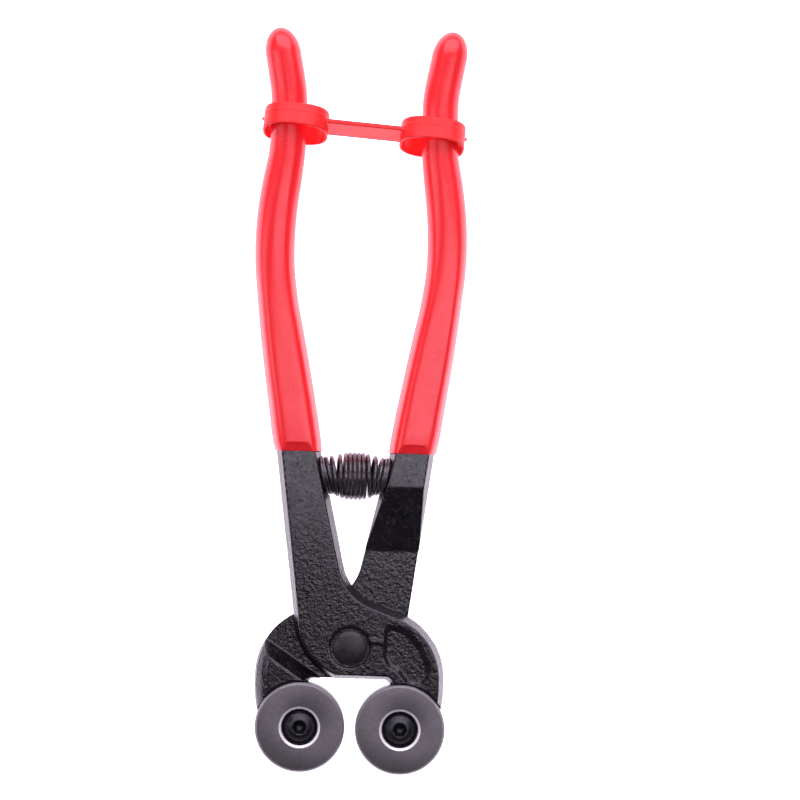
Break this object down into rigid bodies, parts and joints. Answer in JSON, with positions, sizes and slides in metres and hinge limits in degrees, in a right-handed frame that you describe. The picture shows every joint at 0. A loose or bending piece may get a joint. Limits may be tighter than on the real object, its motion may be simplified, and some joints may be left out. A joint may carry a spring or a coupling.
{
  "type": "wheeled mosaic glass nippers",
  "caption": "Plier-like nippers with lapped forged handles, round carbide cutting wheels on the jaws, a barrel return spring, dipped grips and a storage strap.",
  "frame": {"origin": "on the pivot axis at the flat back head of the rivet, which is the plane the tool lies on", "axes": "+Z along the pivot towards the wheels' side, +Y towards the handle tips, +X to the right"},
  "size_m": [0.0586, 0.2052, 0.0152],
  "materials": {
    "forged_steel": "glossy black enamel over a rough forged skin",
    "grip": "glossy dipped red vinyl",
    "black_steel": "satin black oxide",
    "carbide": "fine ground dark grey carbide",
    "spring_steel": "dark blued wire",
    "strap": "satin soft red vinyl"
  },
  "bodies": {
    "front_half": {"front_handle": "forged_steel", "left_grip": "grip", "pivot_rivet": "black_steel", "right_wheel_screw": "black_steel", "left_spring_peg": "black_steel", "return_spring": "spring_steel"},
    "rear_half": {"rear_handle": "forged_steel", "right_grip": "grip", "left_wheel_screw": "black_steel", "right_spring_peg": "black_steel"},
    "left_wheel_body": {"left_wheel": "carbide"},
    "right_wheel_body": {"right_wheel": "carbide"},
    "strap_left": {"strap_left_ring": "strap"},
    "strap_right": {"strap_right_ring": "strap", "strap_web": "strap"}
  },
  "joints": [
    {"name": "jaw_pivot", "type": "hinge", "parent": "front_half", "child": "rear_half", "pos_m": [0, 0, 0.0076], "axis": [0, 0, 1], "range_deg": [0, 5], "stiffness_Nm_per_rad": 4, "springref_deg": -20.05, "deforming": ["return_spring"]},
    {"name": "left_wheel_turn", "type": "hinge", "parent": "rear_half", "child": "left_wheel_body", "pos_m": [-0.0133, -0.02225, 0.01], "axis": [0, 0, 1], "continuous": true},
    {"name": "right_wheel_turn", "type": "hinge", "parent": "front_half", "child": "right_wheel_body", "pos_m": [0.0143, -0.02225, 0.01], "axis": [0, 0, 1], "continuous": true},
    {"name": "strap_slide", "type": "slide", "parent": "front_half", "child": "strap_left", "axis": [0, 1, 0], "range_m": [0, 0.04], "deforming": ["strap_left_ring", "strap_right_ring"]},
    {"name": "strap_flex", "type": "hinge", "parent": "strap_left", "child": "strap_right", "pos_m": [0, 0, 0.0076], "axis": [0, 0, 1], "range_deg": [0, 3.05], "deforming": ["strap_web"]}
  ],
  "couplings": [
    {"joint": "strap_flex", "follows": "jaw_pivot", "ratio": 0.61}
  ]
}
